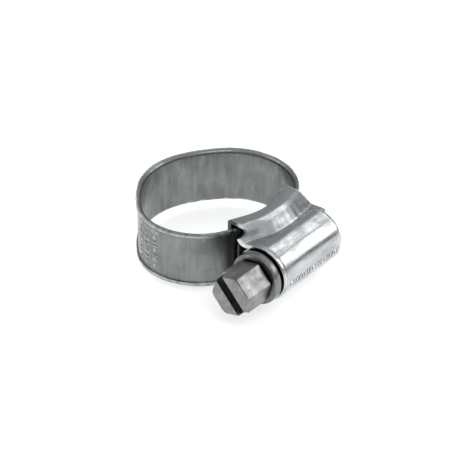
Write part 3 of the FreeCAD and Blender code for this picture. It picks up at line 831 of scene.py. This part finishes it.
# ---------------------------------------------------------------- the screw
class CLAMP_OT_screw(bpy.types.Operator):
    """Builds the slotted hex head, the collar with its neck, and the worm thread"""
    bl_idname = "clamp.screw"
    bl_label = "Worm screw"

    def execute(self, context):
        scene = context.scene
        screw, housing = scene.clamp_screw, scene.clamp_housing
        material = screw_material()
        collar_foot = -housing.barrel_head_x - screw.collar_gap
        collar_head = collar_foot - screw.collar
        head_foot = collar_head - screw.groove
        head = self.head(screw, head_foot)
        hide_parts("worm_screw")
        shaft = self.shaft(screw, housing, head_foot, collar_head, collar_foot)
        for piece in (head, shaft, self.worm(screw, housing)):
            dress(piece, material, "screw")
        return {"FINISHED"}

    def head(self, screw, foot):
        """A hexagon with rounded corners, a chamfered front and back, and a slot."""
        flat, corner = screw.flats / 2, screw.flats / math.sqrt(3)
        front = foot - screw.head
        bm = bmesh.new()
        turns = [math.pi - screw.head_turn + math.radians(60 * k) for k in range(6)]
        rows = [
            [Vector((x, corner * math.cos(turn), corner * math.sin(turn))) for turn in turns]
            for x in (front, foot)
        ]
        add_grid(bm, rows, close_rows=True, close_ends=True)
        head = finish_mesh("screw_head", bm, 30)
        round_edges(head, 0.13 * MM)
        turned, cutter = self.turning(front, foot, flat, corner), self.slot_cutter(screw, front)
        for tool, operation in ((turned, "INTERSECT"), (cutter, "DIFFERENCE")):
            boolean = head.modifiers.new(operation.lower(), "BOOLEAN")
            boolean.operation = operation
            boolean.solver = "EXACT"
            boolean.object = tool
        round_edges(head, 0.07 * MM, segments=2, limit=28)
        weighted = head.modifiers.new("face_normals", "WEIGHTED_NORMAL")
        weighted.keep_sharp = True
        head.data.set_sharp_from_angle(angle=math.pi)
        settle(head)
        for tool in (turned, cutter):
            bpy.data.objects.remove(tool)
        head.location.y = SCREW_AXIS.y
        return head

    def turning(self, front, foot, flat, corner):
        """The turned shape that chamfers both ends of the hexagon."""
        past, slope, ease, clear = MM, 1.4 * MM, corner - flat, corner + 0.02 * MM
        profile = [
            (front - past, 0.0), (front - past, flat - slope), (front, flat + 0.3 * ease),
            (front + 0.5 * ease, clear), (foot - 0.5 * ease, clear),
            (foot, flat + 0.05 * MM), (foot + past, flat), (foot + past, 0.0),
        ]
        bm = bmesh.new()
        add_lathe(bm, profile, 0.0, 144)
        return finish_mesh("head_turning", bm)

    def slot_cutter(self, screw, front):
        """The block that cuts the slot, which runs through two opposite corners."""
        bm = bmesh.new()
        bmesh.ops.create_cube(bm, size=1.0)
        size = (2 * screw.slot_depth, screw.slot_width, 2.4 * screw.flats)
        bmesh.ops.scale(bm, vec=size, verts=bm.verts)
        tilt = -math.radians(30) - screw.head_turn
        bmesh.ops.rotate(bm, matrix=Matrix.Rotation(tilt, 3, "X"), verts=bm.verts)
        bmesh.ops.translate(bm, vec=(front, 0, 0), verts=bm.verts)
        return finish_mesh("slot_cutter", bm)

    def shaft(self, screw, housing, head_foot, collar_head, collar_foot):
        """Undercut, collar and neck, turned in one."""
        neck, collar = screw.neck, screw.collar_radius
        edge = 0.16 * MM
        ease = 0.3 * edge
        inside_head = head_foot - 0.3 * MM
        neck_end = -housing.barrel_head_x + housing.sheet + WORM_GAP
        profile = [
            (inside_head, 0.0), (inside_head, neck), (collar_head, neck),
            (collar_head, collar - edge), (collar_head + ease, collar - ease), (collar_head + edge, collar),
            (collar_foot - edge, collar), (collar_foot - ease, collar - ease), (collar_foot, collar - edge),
            (collar_foot, neck), (neck_end, neck), (neck_end, 0.0),
        ]
        bm = bmesh.new()
        add_lathe(bm, profile, SCREW_AXIS.y, 128)
        return finish_mesh("screw_collar", bm, 50)

    def worm(self, screw, housing):
        """The threaded worm: a core whose radius rises along a right-hand helix, and its tip."""
        end = housing.barrel_foot_x
        start, stop = -housing.barrel_head_x + housing.sheet + WORM_GAP, end - housing.sheet - WORM_GAP
        along, around, runout = 150, 72, 0.9 * MM
        rows = []
        for number in range(along + 1):
            x = start + (stop - start) * number / along
            ends = smoothstep(0, runout, x - start) * smoothstep(0, runout, stop - x)
            row = []
            for step in range(around):
                turn = 2 * math.pi * step / around
                phase = (x / screw.pitch - turn / (2 * math.pi) + 0.5) % 1.0 - 0.5
                across = abs(phase) * screw.pitch
                rise = 1 - smoothstep(screw.tooth_crest / 2, screw.tooth_base / 2, across)
                row.append(about_screw(x, screw.root + (screw.worm - screw.root) * rise * ends, turn))
            rows.append(row)
        bm = bmesh.new()
        add_grid(bm, rows, close_rows=True, close_ends=True)
        ease, neck = 0.1 * MM, screw.neck
        tip = [(stop - ease, 0.0), (stop - ease, neck), (end - ease, neck), (end, neck - ease), (end, 0.0)]
        add_lathe(bm, tip, SCREW_AXIS.y, 72)
        return finish_mesh("screw_worm", bm, 50)


# ---------------------------------------------------------------- stage
class CLAMP_OT_stage(bpy.types.Operator):
    """Builds the pale floor, the soft studio light and the camera"""
    bl_idname = "clamp.stage"
    bl_label = "Stage"

    def execute(self, context):
        scene = context.scene
        self.floor(scene)
        self.world(scene)
        self.lights(scene)
        self.camera(scene)
        scene.view_settings.view_transform = "Standard"
        scene.view_settings.look = "None"
        return {"FINISHED"}

    def floor(self, scene):
        bm = bmesh.new()
        bmesh.ops.create_grid(bm, x_segments=8, y_segments=8, size=2.0)
        bmesh.ops.translate(bm, vec=(0, 0, CAD_BOX[0].z), verts=bm.verts)
        floor = finish_mesh("floor", bm)
        material = bpy.data.materials.new("Pale table")
        material.use_nodes = True
        tree = material.node_tree
        shader = tree.nodes["Principled BSDF"]
        shader.inputs["Base Color"].default_value = (*scene.clamp_colours.floor, 1)
        shader.inputs["Roughness"].default_value = 0.85
        shader.inputs["Specular IOR Level"].default_value = 0.1
        shader.inputs["Emission Color"].default_value = (1, 1, 1, 1)
        shader.inputs["Emission Strength"].default_value = 0.5
        floor.data.materials.append(material)

    def world(self, scene):
        """A pale room with darker bands, so that the metal has something to reflect."""
        strength, sway_share = 0.75, 0.5
        tones = (
            (0.16, 0.42), (0.30, 0.10), (0.42, 0.16), (0.54, 0.9), (0.66, 0.8),
            (0.79, 0.12), (0.84, 1.0), (0.9, 0.35), (0.96, 1.0),
        )
        world = bpy.data.worlds.new("Studio")
        scene.world = world
        world.use_nodes = True
        tree = world.node_tree
        tree.nodes.clear()
        place = node(tree, "TexCoord").outputs["Generated"]
        height = node(tree, "SeparateXYZ", sockets={0: place}).outputs["Z"]
        sway = noise_value(tree, place, scale=1.6, detail=1.0)
        swaying = {0: sway, 1: sway_share, 2: height}
        swayed = node(tree, "Math", operation="MULTIPLY_ADD", sockets=swaying).outputs[0]
        ramp = node(tree, "ValToRGB", sockets={"Fac": swayed})
        stops = ramp.color_ramp.elements
        while len(stops) < len(tones):
            stops.new(0.5)
        for stop, (spot, tone) in zip(stops, tones):
            stop.position = spot
            stop.color = (tone * 0.97, tone * 0.99, tone, 1)
        room = node(tree, "Background", sockets={"Color": ramp.outputs["Color"], "Strength": strength})
        plain = node(tree, "Background", sockets={"Color": (1, 1, 1, 1), "Strength": 1.0})
        seen = node(tree, "LightPath").outputs["Is Camera Ray"]
        mix = node(tree, "MixShader", sockets={0: seen, 1: room.outputs[0], 2: plain.outputs[0]})
        out = tree.nodes.new("ShaderNodeOutputWorld")
        tree.links.new(mix.outputs[0], out.inputs["Surface"])

    def lights(self, scene):
        """Four soft lamps, each given as its name, place from the clamp, size and power in watts."""
        centre = Vector((0, SCREW_AXIS.y / 2, 0))
        rigs = (
            ("key", (-0.12, -0.16, 0.30), (0.14, 0.14), 0.13),
            ("fill", (0.22, -0.20, 0.155), (0.16, 0.16), 0.22),
            ("back", (-0.10, 0.22, 0.24), (0.14, 0.14), 0.10),
            ("strip", (0.20, 0.0, 0.23), (0.20, 0.035), 0.045),
        )
        for name, place, size, power in rigs:
            light = bpy.data.lights.new(name, "AREA")
            light.shape = "RECTANGLE"
            light.size, light.size_y = size
            light.energy = power
            lamp = bpy.data.objects.new(name, light)
            scene.collection.objects.link(lamp)
            self.place_facing(lamp, centre + Vector(place), centre)

    def camera(self, scene):
        """A long lens from the head's side, above the housing."""
        turn, lift, reach = math.radians(-52), math.radians(32.8), 0.45
        aside, below = 2.43 * MM, 2.23 * MM
        away = Vector((math.sin(turn) * math.cos(lift), -math.cos(turn) * math.cos(lift), math.sin(lift)))
        right = Vector((math.cos(turn), math.sin(turn), 0))
        up = away.cross(right)
        loop_middle = Vector((0, -0.5 * MM, 0))
        target = loop_middle + right * aside - up * below
        camera = bpy.data.cameras.new("camera")
        camera.lens = 238.35
        camera.sensor_width = 36
        camera.clip_start = 0.01
        camera.clip_end = 10
        eye = bpy.data.objects.new("camera", camera)
        scene.collection.objects.link(eye)
        self.place_facing(eye, target + away * reach, target)
        scene.camera = eye

    def place_facing(self, thing, place, target):
        """Puts a lamp or the camera at a place and turns it towards a target."""
        thing.location = place
        thing.rotation_euler = (target - thing.location).to_track_quat("-Z", "Y").to_euler()


# ---------------------------------------------------------------- add-on
class CLAMP_PT_panel(bpy.types.Panel):
    """The clamp's sizes, colours and pieces"""
    bl_idname = "CLAMP_PT_panel"
    bl_label = "Hose clamp"
    bl_space_type = "VIEW_3D"
    bl_region_type = "UI"
    bl_category = "Clamp"

    def draw(self, context):
        scene, column = context.scene, self.layout.column()
        for operator in OPERATORS:
            column.operator(operator.bl_idname)
        for group in (scene.clamp_band, scene.clamp_housing, scene.clamp_screw, scene.clamp_colours):
            box = column.box()
            for name in group.__annotations__:
                box.prop(group, name)


OPERATORS = (CLAMP_OT_stage, CLAMP_OT_band, CLAMP_OT_tail, CLAMP_OT_housing, CLAMP_OT_screw)
GROUPS = {
    "clamp_band": ClampBandSizes,
    "clamp_housing": ClampHousingSizes,
    "clamp_screw": ClampScrewSizes,
    "clamp_colours": ClampColours,
}


def register():
    for name, group in GROUPS.items():
        bpy.utils.register_class(group)
        setattr(bpy.types.Scene, name, bpy.props.PointerProperty(type=group))
    for item in (*OPERATORS, CLAMP_PT_panel):
        bpy.utils.register_class(item)


def unregister():
    for item in (CLAMP_PT_panel, *reversed(OPERATORS)):
        bpy.utils.unregister_class(item)
    for name, group in reversed(GROUPS.items()):
        delattr(bpy.types.Scene, name)
        bpy.utils.unregister_class(group)


def main():
    register()
    bpy.ops.clamp.stage()
    bpy.ops.clamp.band()
    bpy.ops.clamp.tail()
    bpy.ops.clamp.housing()
    bpy.ops.clamp.screw()


if __name__ == "__main__":
    main()
